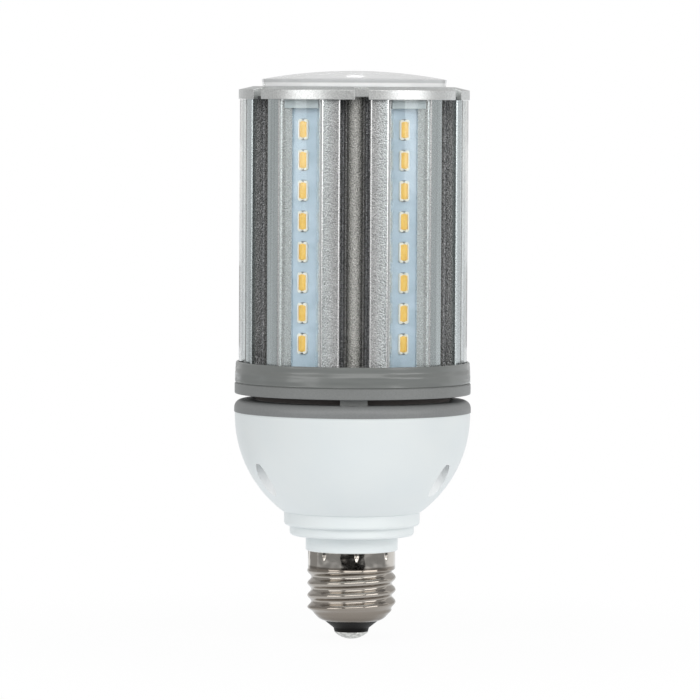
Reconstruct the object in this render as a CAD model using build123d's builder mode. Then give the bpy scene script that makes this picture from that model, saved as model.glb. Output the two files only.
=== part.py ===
from build123d import *
import os

# LED lamp with a medium screw base, standing on its base as it does in the photograph.
# Six LED panels sit round an extruded heat sink, under a domed lens and over a driver housing.
# Millimetres and degrees. Z = 0 is the underside of the collar, where the screw shell starts.
# The front faces -Y. Panels are centred on 0, 60, 120 ... degrees from +X, grooves between them.

# Screw shell, a medium screw base of seven turns to the inch
shell_radius = 13.0
skirt_length = 4.8
crest_proud = 0.2
thread_pitch = 3.629
thread_depth = 1.15
thread_round = 1.35
thread_length = 12.1
thread_turns = 4.23
thread_start_drop = 2.4
shell_wall = 0.8
nose_inset = 2.2
nose_top_drop = 1.3
nose_height = 2.8
nose_mouth_radius = 8.2

# Insulator and contact under the shell
insulator_cone_height = 2.2
insulator_tip_radius = 5.3
insulator_tip_height = 1.1
insulator_plug_height = 2.2
contact_radius = 5.0
contact_lip = 0.25
contact_height = 2.25

# Driver housing, from the collar up
collar_lip = 0.7
collar_height = 4.5
collar_chamfer = 0.25
lower_step_radius = 18.5
lower_step_height = 3.0
upper_step_radius = 20.2
upper_step_height = 4.1
step_round = 1.0
bowl_foot_radius = 20.6
bowl_inset = 0.1
bowl_height = 29.7
bowl_straight = 1.0
housing_wall = 2.2
housing_floor = 2.8
spigot_wall = 2.0
spigot_length = 15.0

# Screw scoops up the bowl and the columns behind them
housing_screw_inset = 5.6
scoop_radius = 3.0
scoop_ceiling = 26.7
head_pocket_height = 2.3
column_radius = 5.0
column_drop = 2.8
board_post_radius = 2.6
board_post_inset = 3.5
board_z = 24.0

# Housing lid with its rounded rim and the dark neck of the air gap
rim_lip = 0.2
rim_height = 3.6
rim_round = 2.4
lid_plate = 2.5
lid_spigot_depth = 2.0
lid_boss_radius = 2.8
lid_pad_radius = 3.2
neck_height = 1.8
neck_wall = 2.4
lead_hole_radius = 9.0

# Vent ring and sink ring
gap_depth = 6.2
vent_ring_height = 3.25
vent_ring_round = 0.35
ring_seam = 0.3
ring_step = 0.1
post_width = 8.0
post_depth = 3.6
ring_opening_radius = 18.0
sink_ring_height = 6.25
sink_ring_floor = 2.05
sink_ring_wall = 0.7
sink_ring_draft = 0.25

# Heat sink extrusion
panel_count = 6
sink_radius = 32.6
sink_length = 82.8
ledge_depth = 1.4
channel_depth = 3.9
seat_wall = 2.3
channel_lip = 0.4
channel_mouth = 14.2
ledge_width = 1.1
lip_overlap = 0.9
groove_width = 8.9
groove_taper = 0.5
groove_depth = 4.8
ridge_width = 4.7
ridge_height = 1.2
rib_pitch = 0.75
rib_width = 0.6
rib_height = 1.0
rib_inset = 0.4
groove_chamfer = (0.55, 0.3)
mouth_chamfer = (0.5, 0.15)
port_radius = 2.7
port_inset = 2.1

# LED boards and chips
board_width = 10.0
board_thickness = 1.6
chip_length = 5.7
chip_width = 3.15
chip_height = 0.7
chip_count = 8
chip_first = 10.66
chip_last = 9.56
chip_offset = -0.55

# Clear panel covers
cover_proud = 1.3
cover_shoulder = 0.8
cover_wall = 1.0
cover_foot = 0.9

# Top cap and lens
cap_thickness = 3.0
cap_overhang = 1.65
cap_bevel_width = 4.3
cap_bevel_height = 1.0
cap_recess = 1.6
skirt_drop = 0.8
tab_drop = 3.4
notch_width = 4.1
notch_depth = 3.0
notch_turn = 3.0
cap_hole_radius = 5.0
lens_seat = 2.0
lens_taper = 0.3
lens_rim_height = 2.1
lens_rise = 2.6
lens_wall = 1.5
lens_spigot = 0.8
lens_spigot_wall = 1.1
outer_chip_radius = 16.0
outer_chip_count = 8
inner_chip_radius = 7.0
inner_chip_count = 4

# Fasteners
small_screw_radius = 1.25
small_head_radius = 2.3
small_head_height = 1.6
large_screw_radius = 1.5
large_head_radius = 2.7
large_head_height = 2.0
cap_screw_length = 9.0
foot_screw_grip = 8.0
board_screw_length = 9.0
blind_end = 0.5

# Driver parts on the board
core_width = 18.0
core_height = 14.0
core_depth = 5.5
core_leg = 5.0
core_yoke = 2.5
winding_build = 3.8
transformer_place = (0.0, 9.0)
bulk_capacitor_size = (5.0, 14.0)
bulk_capacitor_place = (11.5, -9.5)
output_capacitor_size = (4.0, 12.0)
output_capacitor_place = (-11.5, -9.0)
capacitor_round = 0.6
film_capacitor_size = (11.0, 5.0, 9.0)
film_capacitor_gap = 2.7
rectifier_size = (8.0, 3.0, 6.0)
rectifier_place = (0.0, -5.5)
lead_radius = 0.6
lead_bend = 2.0
neutral_lead_offset = 6.0
output_lead_spacing = 4.4

# Clearances
slip = 0.1
thread_fit = 0.03
screw_clearance = 0.25
ring_clearance = 0.15
spigot_clearance = 0.15
chip_air = 0.2

# Heights that follow from the stack
lower_step_z = collar_height
upper_step_z = lower_step_z + lower_step_height
bowl_z = upper_step_z + upper_step_height
lid_z = bowl_z + bowl_height
lid_top_z = lid_z + rim_height
vent_z = lid_top_z + neck_height
ring_z = vent_z + vent_ring_height
sink_z = ring_z + sink_ring_floor
ring_top_z = ring_z + sink_ring_height
cap_z = sink_z + sink_length
cap_top_z = cap_z + cap_thickness
cap_recess_z = cap_top_z - cap_recess
lens_edge_z = cap_top_z + lens_rim_height
lens_top_z = lens_edge_z + lens_rise
thread_z = -skirt_length
nose_z = thread_z - thread_length
nose_top_z = nose_z - nose_top_drop
mouth_z = nose_top_z - nose_height
insulator_tip_z = mouth_z - insulator_cone_height
contact_z = insulator_tip_z - insulator_tip_height
contact_bottom_z = contact_z - contact_height
lid_under_z = lid_top_z - lid_plate
column_top_z = lid_z - column_drop
head_seat_z = scoop_ceiling + head_pocket_height
board_top_z = board_z + board_thickness

# Radii that follow from the fits
crest_radius = shell_radius + crest_proud
thread_root_radius = crest_radius - thread_depth
nose_top_radius = crest_radius - nose_inset
shell_bore = thread_root_radius - shell_wall
spigot_radius = shell_bore - spigot_clearance
spigot_bore = spigot_radius - spigot_wall
collar_radius = shell_radius + collar_lip
cover_ledge = sink_radius - ledge_depth
board_seat = cover_ledge - channel_depth
board_face = board_seat + board_thickness
slot_top = board_face + slip
sink_bore = board_seat - seat_wall
groove_floor = sink_radius - groove_depth
cover_crown = sink_radius + cover_proud
ring_bore = cover_crown + ring_clearance
ring_top_radius = ring_bore + sink_ring_wall
ring_radius = ring_top_radius + sink_ring_draft
vent_radius = ring_radius + ring_step
neck_radius = vent_radius - gap_depth
bowl_radius = vent_radius - bowl_inset
rim_radius = bowl_radius + rim_lip
lid_spigot_radius = bowl_radius - housing_wall - slip
housing_screw_radius = bowl_radius - housing_screw_inset
board_radius = housing_screw_radius - column_radius - 4 * slip
board_post_place = board_radius - board_post_inset
port_place = sink_bore - port_inset
cap_radius = sink_radius + cap_overhang
recess_radius = port_place + small_head_radius + 3 * slip
lens_radius = recess_radius + lens_seat
lens_spigot_radius = recess_radius - slip
lens_spigot_bore = lens_spigot_radius - lens_spigot_wall
top_board_radius = lens_spigot_bore - 4 * slip

# Directions, counted from +X
sector = 360 / panel_count
panel_angles = [sector * i for i in range(panel_count)]
front_groove = -90
port_angles = [front_groove + 120 * i for i in range(3)]
between_angles = [angle + 60 for angle in port_angles]

os.makedirs("parts", exist_ok=True)


def write(piece, name):
    """Labels a finished piece and writes it to its own file."""
    piece.part.label = name
    export_step(piece.part, f"parts/{name}.step")


def ring_of(radius, angles, z):
    """Upright places at one height, on a circle round the lamp's axis."""
    centre = Vector(radius, 0, z)
    return [centre.rotate(Axis.Z, angle) for angle in angles]


def panel_plane(angle, distance):
    """Plane facing out of one panel: local X across the panel, local Y up."""
    out = Vector(1, 0, 0).rotate(Axis.Z, angle)
    across = Vector(0, 1, 0).rotate(Axis.Z, angle)
    return Plane(origin=out * distance, x_dir=across, z_dir=out)


def section_plane(angle, z):
    """Level plane with local X pointing out along one direction."""
    return Plane.XY.offset(z).rotated((0, 0, angle))


STANDING = (Align.CENTER, Align.CENTER, Align.MIN)
HANGING = (Align.CENTER, Align.CENTER, Align.MAX)

# Screw shell: rolled skirt, knuckle thread and rounded nose
with BuildPart() as thread_groove:
    groove_path_radius = thread_root_radius + thread_round
    thread_start_z = nose_top_z - thread_start_drop
    with BuildLine() as thread_path:
        Helix(thread_pitch, thread_pitch * thread_turns, groove_path_radius, center=(0, 0, thread_start_z))
    with BuildSketch(Plane(origin=thread_path.line @ 0, z_dir=thread_path.line % 0)):
        Circle(thread_round)
    sweep(path=thread_path.line, is_frenet=True)
    with Locations(thread_path.line @ 1):
        Sphere(thread_round)

with BuildPart() as screw_shell:
    with BuildSketch(Plane.XY.offset(nose_z)):
        Circle(crest_radius)
        Circle(shell_bore, mode=Mode.SUBTRACT)
    extrude(amount=thread_length)
    add(thread_groove.part, mode=Mode.SUBTRACT)
    with BuildSketch():
        Circle(shell_radius)
        Circle(shell_bore, mode=Mode.SUBTRACT)
    extrude(amount=-skirt_length)
    with BuildSketch(Plane.XZ):
        with BuildLine():
            Line((crest_radius, nose_z), (nose_top_radius, nose_top_z))
            TangentArc((nose_top_radius, nose_top_z), (nose_mouth_radius, mouth_z), tangent=(-0.25, -1))
            Polyline(
                (nose_mouth_radius, mouth_z),
                (nose_mouth_radius, mouth_z + shell_wall),
                (nose_top_radius - shell_wall, nose_top_z + shell_wall / 2),
                (shell_bore, nose_z),
                (crest_radius, nose_z),
            )
        make_face()
    revolve(axis=Axis.Z)
write(screw_shell, "screw_shell")

# Base insulator: a plug in the shell's mouth and a cone below it, bored for the live lead
insulator_radius = nose_mouth_radius - slip
with BuildPart() as base_insulator:
    with BuildSketch(Plane.XZ):
        with BuildLine():
            Polyline(
                (lead_radius + slip, contact_z),
                (contact_radius, contact_z),
                (insulator_tip_radius, insulator_tip_z),
                (insulator_radius, mouth_z),
                (insulator_radius, mouth_z + insulator_plug_height),
                (lead_radius + slip, mouth_z + insulator_plug_height),
                close=True,
            )
        make_face()
    revolve(axis=Axis.Z)
write(base_insulator, "base_insulator")

# Contact tip: a domed solder button
with BuildPart() as contact_tip:
    with BuildSketch(Plane.XZ):
        with BuildLine():
            Polyline((0, contact_bottom_z), (0, contact_z), (contact_radius, contact_z))
            Line((contact_radius, contact_z), (contact_radius, contact_z - contact_lip))
            TangentArc((0, contact_bottom_z), (contact_radius, contact_z - contact_lip), tangent=(1, 0))
        make_face()
    revolve(axis=Axis.Z)
write(contact_tip, "contact_tip")

# Driver housing: collar, two rounded steps and a deep bowl
with BuildSketch(Plane.XZ) as housing_outline:
    with BuildLine():
        Polyline(
            (0, 0),
            (collar_radius - collar_chamfer, 0),
            (collar_radius, collar_chamfer),
            (collar_radius, lower_step_z),
            (lower_step_radius - step_round, lower_step_z),
        )
        RadiusArc(
            (lower_step_radius - step_round, lower_step_z),
            (lower_step_radius, lower_step_z + step_round),
            -step_round,
        )
        Polyline(
            (lower_step_radius, lower_step_z + step_round),
            (lower_step_radius, upper_step_z),
            (upper_step_radius - step_round, upper_step_z),
        )
        RadiusArc(
            (upper_step_radius - step_round, upper_step_z),
            (upper_step_radius, upper_step_z + step_round),
            -step_round,
        )
        Polyline(
            (upper_step_radius, upper_step_z + step_round),
            (upper_step_radius, bowl_z),
            (bowl_foot_radius, bowl_z),
        )
        TangentArc((bowl_radius, lid_z - bowl_straight), (bowl_foot_radius, bowl_z), tangent=(0, -1))
        Polyline((bowl_radius, lid_z - bowl_straight), (bowl_radius, lid_z), (0, lid_z), (0, 0))
    make_face()

with BuildPart() as housing_posts:
    with BuildSketch(Plane.XY.offset(lower_step_z)):
        with Locations(*ring_of(housing_screw_radius, between_angles, 0)):
            Circle(column_radius)
    extrude(amount=column_top_z - lower_step_z)
    with BuildSketch(Plane.XY.offset(bowl_z)):
        with Locations(*ring_of(board_post_place, port_angles, 0)):
            Circle(board_post_radius)
    extrude(amount=board_z - bowl_z)
    revolve(housing_outline.sketch, axis=Axis.Z, mode=Mode.INTERSECT)

with BuildPart() as driver_housing:
    revolve(housing_outline.sketch, axis=Axis.Z)
    cavity_radius = bowl_radius - housing_wall
    cavity_foot = bowl_foot_radius - housing_wall
    floor_z = lower_step_z + housing_floor
    with BuildSketch(Plane.XZ):
        with BuildLine():
            Polyline(
                (0, -spigot_length),
                (0, lid_z),
                (cavity_radius, lid_z),
                (cavity_radius, lid_z - bowl_straight),
            )
            TangentArc(
                (cavity_radius, lid_z - bowl_straight),
                (cavity_foot, bowl_z + housing_wall),
                tangent=(0, -1),
            )
            Polyline(
                (cavity_foot, bowl_z + housing_wall),
                (lower_step_radius - housing_wall, floor_z),
                (spigot_bore, floor_z),
                (spigot_bore, -spigot_length),
                (0, -spigot_length),
            )
        make_face()
    revolve(axis=Axis.Z, mode=Mode.SUBTRACT)
    with BuildSketch():
        Circle(spigot_radius)
        Circle(spigot_bore, mode=Mode.SUBTRACT)
    extrude(amount=-spigot_length)
    add(housing_posts.part)
    with Locations(*ring_of(housing_screw_radius, between_angles, 0)):
        Cylinder(scoop_radius, scoop_ceiling, align=STANDING, mode=Mode.SUBTRACT)
        Cylinder(large_head_radius + slip, head_seat_z, align=STANDING, mode=Mode.SUBTRACT)
        Cylinder(large_screw_radius + screw_clearance, column_top_z, align=STANDING, mode=Mode.SUBTRACT)
    with Locations(*ring_of(board_post_place, port_angles, board_z)):
        Cylinder(
            small_screw_radius + thread_fit,
            board_screw_length - board_thickness + blind_end,
            align=HANGING,
            mode=Mode.SUBTRACT,
        )
write(driver_housing, "driver_housing")

# Housing lid: rounded rim, locating spigot, screw bosses and the neck of the air gap
with BuildPart() as housing_lid:
    with BuildSketch(Plane.XZ):
        with BuildLine():
            lid_spigot_z = lid_z - lid_spigot_depth
            Polyline(
                (lead_hole_radius, lid_under_z),
                (lid_spigot_radius - housing_wall, lid_under_z),
                (lid_spigot_radius - housing_wall, lid_spigot_z),
                (lid_spigot_radius, lid_spigot_z),
                (lid_spigot_radius, lid_z),
                (rim_radius, lid_z),
                (rim_radius, lid_top_z - rim_round),
            )
            RadiusArc((rim_radius, lid_top_z - rim_round), (rim_radius - rim_round, lid_top_z), -rim_round)
            Polyline(
                (rim_radius - rim_round, lid_top_z),
                (neck_radius, lid_top_z),
                (neck_radius, vent_z),
                (neck_radius - neck_wall, vent_z),
                (neck_radius - neck_wall, lid_top_z),
                (lead_hole_radius, lid_top_z),
                (lead_hole_radius, lid_under_z),
            )
        make_face()
    revolve(axis=Axis.Z)
    with Locations(*ring_of(housing_screw_radius, between_angles, column_top_z)):
        Cylinder(lid_boss_radius, lid_under_z - column_top_z, align=STANDING)
    with Locations(*ring_of(port_place, between_angles, lid_top_z)):
        Cylinder(lid_pad_radius, neck_height, align=STANDING)
    with Locations(*ring_of(housing_screw_radius, between_angles, column_top_z)):
        Cylinder(
            large_screw_radius + thread_fit,
            lid_under_z - column_top_z,
            align=STANDING,
            mode=Mode.SUBTRACT,
        )
    with Locations(*ring_of(port_place, between_angles, lid_under_z)):
        Cylinder(
            small_screw_radius + screw_clearance,
            vent_z - lid_under_z,
            align=STANDING,
            mode=Mode.SUBTRACT,
        )
write(housing_lid, "housing_lid")

# Vent ring: plate with a rounded lower edge and three posts across the air gap
with BuildPart() as vent_ring:
    with BuildSketch(Plane.XZ):
        with BuildLine():
            Line((ring_opening_radius, vent_z), (vent_radius - vent_ring_round, vent_z))
            RadiusArc(
                (vent_radius - vent_ring_round, vent_z),
                (vent_radius, vent_z + vent_ring_round),
                -vent_ring_round,
            )
            Polyline(
                (vent_radius, vent_z + vent_ring_round),
                (vent_radius, ring_z - ring_seam),
                (vent_radius - ring_seam, ring_z),
                (ring_opening_radius, ring_z),
                (ring_opening_radius, vent_z),
            )
        make_face()
    revolve(axis=Axis.Z)
    with BuildSketch(Plane.XY.offset(lid_top_z)):
        with PolarLocations(neck_radius + slip + post_depth / 2, len(port_angles), front_groove):
            Rectangle(post_depth, post_width)
        Circle(neck_radius + slip, mode=Mode.SUBTRACT)
    extrude(amount=neck_height)
    with Locations(Plane.XY.offset(vent_z)):
        with PolarLocations(port_place, len(port_angles), front_groove):
            Cylinder(
                small_head_radius + screw_clearance,
                small_head_height + screw_clearance,
                align=STANDING,
                mode=Mode.SUBTRACT,
            )
            Cylinder(
                small_screw_radius + screw_clearance,
                vent_ring_height,
                align=STANDING,
                mode=Mode.SUBTRACT,
            )
        with PolarLocations(port_place, len(between_angles), between_angles[0]):
            Cylinder(
                small_screw_radius + thread_fit,
                vent_ring_height,
                align=STANDING,
                mode=Mode.SUBTRACT,
            )
write(vent_ring, "vent_ring")

# Sink ring: a glossy cup with a crowned wall round the heat sink's foot
with BuildPart() as sink_ring:
    with BuildSketch(Plane.XZ):
        with BuildLine():
            Polyline(
                (ring_opening_radius, ring_z),
                (ring_radius - ring_seam, ring_z),
                (ring_radius, ring_z + ring_seam),
            )
            TangentArc(
                (ring_radius, ring_z + ring_seam),
                (ring_top_radius, ring_top_z - sink_ring_draft),
                tangent=(0, 1),
            )
            Polyline(
                (ring_top_radius, ring_top_z - sink_ring_draft),
                (ring_top_radius - sink_ring_draft, ring_top_z),
                (ring_bore, ring_top_z),
                (ring_bore, sink_z),
                (ring_opening_radius, sink_z),
                (ring_opening_radius, ring_z),
            )
        make_face()
    revolve(axis=Axis.Z)
    with Locations(*ring_of(port_place, port_angles, ring_z)):
        Cylinder(
            small_screw_radius + screw_clearance,
            sink_ring_floor,
            align=STANDING,
            mode=Mode.SUBTRACT,
        )
write(sink_ring, "sink_ring")

# Heat sink section: one board channel and one ribbed groove, repeated round the tube
slot_half = board_width / 2 + slip
lip_half = board_width / 2 - lip_overlap
mouth_half = channel_mouth / 2
ledge_inner = mouth_half - ledge_width
outside = sink_radius + cover_proud
mouth_edge = (sink_radius**2 - mouth_half**2) ** 0.5 - mouth_chamfer[1]
mouth_flare = (outside - mouth_edge) * mouth_chamfer[0] / mouth_chamfer[1]
with BuildSketch() as channel:
    with BuildLine():
        Polyline(
            (board_seat, 0),
            (board_seat, slot_half),
            (slot_top, slot_half),
            (slot_top, lip_half),
            (slot_top + channel_lip, lip_half),
            (cover_ledge, ledge_inner),
            (cover_ledge, mouth_half),
            (mouth_edge, mouth_half),
            (outside, mouth_half + mouth_flare),
            (outside, 0),
        )
        mirror(about=Plane.XZ)
    make_face()

groove_half = groove_width / 2
groove_edge = (sink_radius**2 - groove_half**2) ** 0.5 - groove_chamfer[1]
groove_flare = (outside - groove_edge) * groove_chamfer[0] / groove_chamfer[1]
rib_base = groove_floor
rib_start = groove_half - groove_taper / 2
with BuildSketch() as groove:
    with BuildLine():
        points = [
            (outside, 0),
            (outside, groove_half + groove_flare),
            (groove_edge, groove_half),
            (rib_base, rib_start),
        ]
        for i in range(2):
            rib_edge = rib_start - rib_inset / 4 - i * rib_pitch
            points.append((rib_base, rib_edge))
            points.append((rib_base + rib_height, rib_edge - rib_width / 2))
            points.append((rib_base, rib_edge - rib_width))
        points.append((rib_base, ridge_width / 2))
        Polyline(*points)
        mirror(about=Plane.XZ)
        ThreePointArc(
            (rib_base, ridge_width / 2),
            (rib_base + ridge_height, 0),
            (rib_base, -ridge_width / 2),
        )
    make_face()

with BuildPart() as heat_sink:
    with BuildSketch(Plane.XY.offset(sink_z)):
        Circle(sink_radius)
        Circle(sink_bore, mode=Mode.SUBTRACT)
        with PolarLocations(port_place, len(port_angles), front_groove):
            Circle(port_radius)
        with PolarLocations(port_place, len(port_angles), front_groove):
            Circle(small_screw_radius + thread_fit, mode=Mode.SUBTRACT)
        with PolarLocations(0, panel_count):
            add(channel.sketch, mode=Mode.SUBTRACT)
        with PolarLocations(0, panel_count, front_groove):
            add(groove.sketch, mode=Mode.SUBTRACT)
    extrude(amount=sink_length)
write(heat_sink, "heat_sink")

# LED boards, their chips and the clear covers, one set to a panel
board_length = sink_length - chip_air
chip_pitch = (sink_length - chip_first - chip_last) / (chip_count - 1)
cover_half = mouth_half - slip
cover_inner_half = cover_half - cover_foot
for number, angle in enumerate(panel_angles, start=1):
    with BuildPart() as led_board:
        with BuildSketch(panel_plane(angle, board_seat)):
            with Locations((0, sink_z + board_length / 2)):
                Rectangle(board_width, board_length)
        extrude(amount=board_thickness)
    write(led_board, f"led_board_{number}")

    with BuildPart() as led_chips:
        with BuildSketch(panel_plane(angle, board_face)):
            with Locations(*[(chip_offset, sink_z + chip_first + i * chip_pitch) for i in range(chip_count)]):
                Rectangle(chip_width, chip_length)
        extrude(amount=chip_height)
    write(led_chips, f"led_chips_{number}")

    with BuildPart() as panel_cover:
        with BuildSketch(section_plane(angle, sink_z)):
            with BuildLine():
                Polyline(
                    (cover_ledge, cover_inner_half),
                    (cover_ledge, cover_half),
                    (cover_ledge + cover_shoulder, cover_half),
                )
                mirror(about=Plane.XZ)
                ThreePointArc(
                    (cover_ledge + cover_shoulder, cover_half),
                    (cover_crown, 0),
                    (cover_ledge + cover_shoulder, -cover_half),
                )
                ThreePointArc(
                    (cover_ledge, cover_inner_half),
                    (cover_crown - cover_wall, 0),
                    (cover_ledge, -cover_inner_half),
                )
            make_face()
        extrude(amount=sink_length - skirt_drop - slip)
    write(panel_cover, f"panel_cover_{number}")

# Top cap: plate with a bevelled rim in six segments and a tab down each channel
with BuildPart() as top_cap:
    with BuildSketch(Plane.XZ):
        with BuildLine():
            skirt_bore = sink_radius + ring_clearance
            Polyline(
                (cap_hole_radius, cap_z),
                (skirt_bore, cap_z),
                (skirt_bore, cap_z - skirt_drop),
                (cap_radius, cap_z - skirt_drop),
                (cap_radius, cap_top_z - cap_bevel_height),
                (cap_radius - cap_bevel_width, cap_top_z),
                (recess_radius, cap_top_z),
                (recess_radius, cap_recess_z),
                (cap_hole_radius, cap_recess_z),
                close=True,
            )
        make_face()
    revolve(axis=Axis.Z)
    with BuildSketch(Plane.XY.offset(cap_z - skirt_drop)):
        with PolarLocations(cap_radius, panel_count, front_groove + notch_turn):
            Rectangle(2 * notch_depth, notch_width)
    extrude(amount=cap_thickness + skirt_drop, mode=Mode.SUBTRACT)
    with BuildSketch(Plane.XY.offset(cap_z - tab_drop)) as tabs:
        with BuildSketch(mode=Mode.PRIVATE) as tab:
            with BuildLine():
                tab_foot = board_face + chip_air
                tab_half = lip_half - chip_air
                Polyline(
                    (tab_foot, -tab_half),
                    (tab_foot, tab_half),
                    (slot_top + channel_lip, tab_half),
                    (cover_ledge - chip_air, ledge_inner - 2 * chip_air),
                    (cover_ledge - chip_air, 2 * chip_air - ledge_inner),
                    (slot_top + channel_lip, -tab_half),
                    close=True,
                )
            make_face()
        with PolarLocations(0, panel_count):
            add(tab.sketch)
    extrude(amount=tab_drop)
    with Locations(*ring_of(port_place, port_angles, cap_recess_z)):
        CounterSinkHole(
            small_screw_radius + screw_clearance / 2,
            small_head_radius + screw_clearance / 2,
            cap_thickness,
            counter_sink_angle=90,
        )
write(top_cap, "top_cap")

# Top lens: shallow dome with a locating spigot inside the cap's recess
with BuildPart() as top_lens:
    with BuildSketch(Plane.XZ):
        with BuildLine():
            lens_inner_z = lens_top_z - lens_wall
            Polyline(
                (lens_spigot_bore, cap_top_z - lens_spigot),
                (lens_spigot_radius, cap_top_z - lens_spigot),
                (lens_spigot_radius, cap_top_z),
                (lens_radius - lens_taper, cap_top_z),
                (lens_radius, lens_edge_z),
            )
            TangentArc((0, lens_top_z), (lens_radius, lens_edge_z), tangent=(1, 0))
            Line((0, lens_top_z), (0, lens_inner_z))
            TangentArc((0, lens_inner_z), (lens_spigot_bore, lens_edge_z - lens_wall / 2), tangent=(1, 0))
            Line(
                (lens_spigot_bore, lens_edge_z - lens_wall / 2),
                (lens_spigot_bore, cap_top_z - lens_spigot),
            )
        make_face()
    revolve(axis=Axis.Z)
write(top_lens, "top_lens")

# Top LED board and its chips, lighting the lens from below
with BuildPart() as top_led_board:
    with BuildSketch(Plane.XY.offset(cap_recess_z)):
        Circle(top_board_radius)
    extrude(amount=board_thickness)
write(top_led_board, "top_led_board")

with BuildPart() as top_led_chips:
    with BuildSketch(Plane.XY.offset(cap_recess_z + board_thickness)):
        with PolarLocations(outer_chip_radius, outer_chip_count):
            Rectangle(chip_length, chip_width)
        with PolarLocations(inner_chip_radius, inner_chip_count):
            Rectangle(chip_length, chip_width)
    extrude(amount=chip_height)
write(top_led_chips, "top_led_chips")


def screws(places, screw_radius, length, head_radius, head_height):
    """Pan head screws that point up, with the underside of each head at its place."""
    with BuildPart() as group:
        with Locations(*places):
            Cylinder(screw_radius, length, align=STANDING)
            Cylinder(head_radius, head_height, align=HANGING)
    return group


# Fasteners, each set a group of separate solids
with BuildPart() as cap_screws:
    with Locations(*ring_of(port_place, port_angles, cap_recess_z)):
        Cylinder(small_screw_radius, cap_screw_length, align=HANGING)
        Cone(
            small_screw_radius,
            small_head_radius,
            small_head_radius - small_screw_radius,
            align=HANGING,
        )
write(cap_screws, "cap_screws")

foot_head_z = vent_z + small_head_height + screw_clearance
foot_screws = screws(
    ring_of(port_place, port_angles, foot_head_z),
    small_screw_radius,
    sink_z + foot_screw_grip - foot_head_z,
    small_head_radius,
    small_head_height,
)
write(foot_screws, "foot_screws")

lid_screws = screws(
    ring_of(port_place, between_angles, lid_under_z),
    small_screw_radius,
    ring_z - blind_end - lid_under_z,
    small_head_radius,
    small_head_height,
)
write(lid_screws, "lid_screws")

housing_screws = screws(
    ring_of(housing_screw_radius, between_angles, head_seat_z),
    large_screw_radius,
    lid_under_z - blind_end - head_seat_z,
    large_head_radius,
    large_head_height,
)
write(housing_screws, "housing_screws")

with BuildPart() as board_screws:
    with Locations(*ring_of(board_post_place, port_angles, board_top_z)):
        Cylinder(small_screw_radius, board_screw_length, align=HANGING)
        Cylinder(small_head_radius, small_head_height, align=STANDING)
write(board_screws, "board_screws")

# Driver board and the parts that stand on it
with BuildPart() as driver_board:
    with BuildSketch(Plane.XY.offset(board_z)):
        Circle(board_radius)
        with Locations(*ring_of(board_post_place, port_angles, 0)):
            Circle(small_screw_radius + screw_clearance, mode=Mode.SUBTRACT)
    extrude(amount=board_thickness)
write(driver_board, "driver_board")

transformer_x, transformer_y = transformer_place
window_height = core_height - 2 * core_yoke
window_width = (core_width - core_leg) / 2 - core_yoke
core_plane = Plane(
    origin=(transformer_x, transformer_y + core_depth / 2, board_top_z),
    x_dir=(1, 0, 0),
    z_dir=(0, -1, 0),
)
with BuildPart() as transformer_core:
    with BuildSketch(core_plane):
        with Locations((0, core_height / 2)):
            Rectangle(core_width, core_height)
            with GridLocations(core_leg + window_width, 0, 2, 1):
                Rectangle(window_width, window_height, mode=Mode.SUBTRACT)
    extrude(amount=core_depth)
write(transformer_core, "transformer_core")

winding_z = board_top_z + core_yoke + slip
with BuildPart() as transformer_winding:
    with BuildSketch(Plane.XY.offset(winding_z)):
        with Locations(transformer_place):
            RectangleRounded(
                core_leg + 2 * winding_build,
                core_depth + 2 * winding_build,
                winding_build / 2,
            )
            Rectangle(core_leg + 2 * slip, core_depth + 2 * slip, mode=Mode.SUBTRACT)
    extrude(amount=window_height - 2 * slip)
write(transformer_winding, "transformer_winding")


def standing_capacitor(place, size):
    """Round can on the board with a rolled top edge."""
    radius, height = size
    with BuildPart() as can:
        with BuildSketch(Plane.XY.offset(board_top_z)):
            with Locations(place):
                Circle(radius)
        extrude(amount=height)
        fillet(can.faces().sort_by(Axis.Z)[-1].edges(), capacitor_round)
    return can


def standing_block(place, size):
    """Moulded block on the board with softened upright edges."""
    width, depth, height = size
    with BuildPart() as block:
        with BuildSketch(Plane.XY.offset(board_top_z)):
            with Locations(place):
                RectangleRounded(width, depth, capacitor_round)
        extrude(amount=height)
    return block


write(standing_capacitor(bulk_capacitor_place, bulk_capacitor_size), "bulk_capacitor")
write(standing_capacitor(output_capacitor_place, output_capacitor_size), "output_capacitor")
film_back = board_post_place - small_head_radius - film_capacitor_gap
film_capacitor_place = (0, film_capacitor_size[1] / 2 - film_back)
write(standing_block(film_capacitor_place, film_capacitor_size), "film_capacitor")
write(standing_block(rectifier_place, rectifier_size), "bridge_rectifier")

# Leads: contact to board, shell to board, and board to the top LED board
with BuildPart() as live_lead:
    with BuildSketch(Plane.XY.offset(contact_z)):
        Circle(lead_radius)
    extrude(amount=board_z - contact_z)
write(live_lead, "live_lead")

neutral_end_z = -spigot_length - lead_radius - 2 * slip
with BuildPart() as neutral_lead:
    with BuildLine() as neutral_path:
        FilletPolyline(
            (neutral_lead_offset, 0, board_z),
            (neutral_lead_offset, 0, neutral_end_z),
            (shell_bore - slip, 0, neutral_end_z),
            radius=lead_bend,
        )
    with BuildSketch(Plane(origin=neutral_path.line @ 0, z_dir=neutral_path.line % 0)):
        Circle(lead_radius)
    sweep(path=neutral_path.line)
write(neutral_lead, "neutral_lead")

with BuildPart() as output_leads:
    with BuildSketch(Plane.XY.offset(board_top_z)):
        with GridLocations(output_lead_spacing, 0, 2, 1):
            Circle(lead_radius)
    extrude(amount=cap_recess_z - board_top_z)
write(output_leads, "output_leads")
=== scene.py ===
from math import cos, pi, radians, sin

import bpy
from mathutils import Matrix, Vector


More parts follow.
